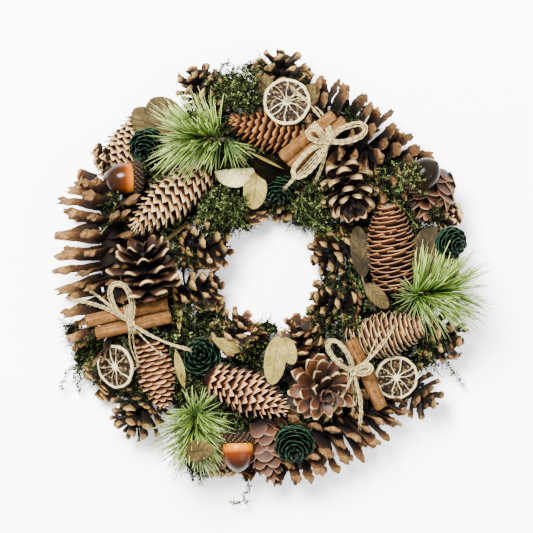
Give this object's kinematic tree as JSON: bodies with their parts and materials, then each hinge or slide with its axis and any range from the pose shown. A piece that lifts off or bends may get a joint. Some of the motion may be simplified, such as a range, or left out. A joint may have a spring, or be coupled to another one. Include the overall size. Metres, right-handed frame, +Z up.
{
  "type": "pinecone wreath",
  "caption": "Round table or door wreath of open and closed pinecones on a vine ring, with acorns, dried citrus slices, tied cinnamon sticks, needles, leaves and moss.",
  "frame": {"origin": "middle of the wreath's bounding box, on the surface that the ring rests on", "axes": "+Z up out of the wreath's decorated face, +Y to the top of the wreath as hung, +X to its right seen from the face"},
  "size_m": [0.3774, 0.3785, 0.1137],
  "materials": {
    "vine": "matt twisted vine",
    "large_cone_scales": "matt weathered wood grain",
    "long_cone_scales": "matt, thin pale rims",
    "smooth_cone_scales": "satin",
    "open_cone_scales": "matt dark brown with pale tips",
    "dyed_green_scales": "dyed dark green, satin rims",
    "acorn_shell": "polished nut, matt beaded cup",
    "dried_citrus": "dry cream rind, sunken flesh",
    "cinnamon_bark": "matt rolled bark",
    "jute_twine": "fuzzy two-strand twist",
    "green_needles": "satin needles",
    "dried_leaves": "matt with fine veins",
    "moss": "matt, fine bristle"
  },
  "bodies": {
    "root": {"acorn_1": "acorn_shell", "acorn_2": "acorn_shell", "acorn_3": "acorn_shell", "cinnamon_stick_1_1": "cinnamon_bark", "cinnamon_stick_1_2": "cinnamon_bark", "cinnamon_stick_2_1": "cinnamon_bark", "cinnamon_stick_2_2": "cinnamon_bark", "cinnamon_stick_3_1": "cinnamon_bark", "citrus_slice_1": "dried_citrus", "citrus_slice_2": "dried_citrus", "citrus_slice_3": "dried_citrus", "green_cone_1": "dyed_green_scales", "green_cone_2": "dyed_green_scales", "green_cone_3": "dyed_green_scales", "green_cone_4": "dyed_green_scales", "green_cone_5": "dyed_green_scales", "large_cone_1": "large_cone_scales", "large_cone_2": "large_cone_scales", "large_cone_3": "large_cone_scales", "leaf_sprig_1": "dried_leaves", "leaf_sprig_2": "dried_leaves", "leaf_sprig_3": "dried_leaves", "leaf_sprig_4": "dried_leaves", "leaf_sprig_5": "dried_leaves", "long_cone_1": "long_cone_scales", "long_cone_2": "long_cone_scales", "long_cone_3": "long_cone_scales", "long_cone_4": "long_cone_scales", "long_cone_5": "long_cone_scales", "long_cone_6": "long_cone_scales", "long_cone_7": "long_cone_scales", "long_cone_8": "long_cone_scales", "moss_tuft_1": "moss", "moss_tuft_2": "moss", "moss_tuft_3": "moss", "needle_spray_1": "green_needles", "needle_spray_2": "green_needles", "needle_spray_3": "green_needles", "open_cone_1": "open_cone_scales", "open_cone_10": "open_cone_scales", "open_cone_11": "open_cone_scales", "open_cone_12": "open_cone_scales", "open_cone_13": "open_cone_scales", "open_cone_14": "open_cone_scales", "open_cone_15": "open_cone_scales", "open_cone_2": "open_cone_scales", "open_cone_3": "open_cone_scales", "open_cone_4": "open_cone_scales", "open_cone_5": "open_cone_scales", "open_cone_6": "open_cone_scales", "open_cone_7": "open_cone_scales", "open_cone_8": "open_cone_scales", "open_cone_9": "open_cone_scales", "smooth_cone_1": "smooth_cone_scales", "smooth_cone_2": "smooth_cone_scales", "smooth_cone_3": "smooth_cone_scales", "twine_bow_1": "jute_twine", "twine_bow_2": "jute_twine", "twine_bow_3": "jute_twine", "vine_ring": "vine"}
  },
  "joints": []
}
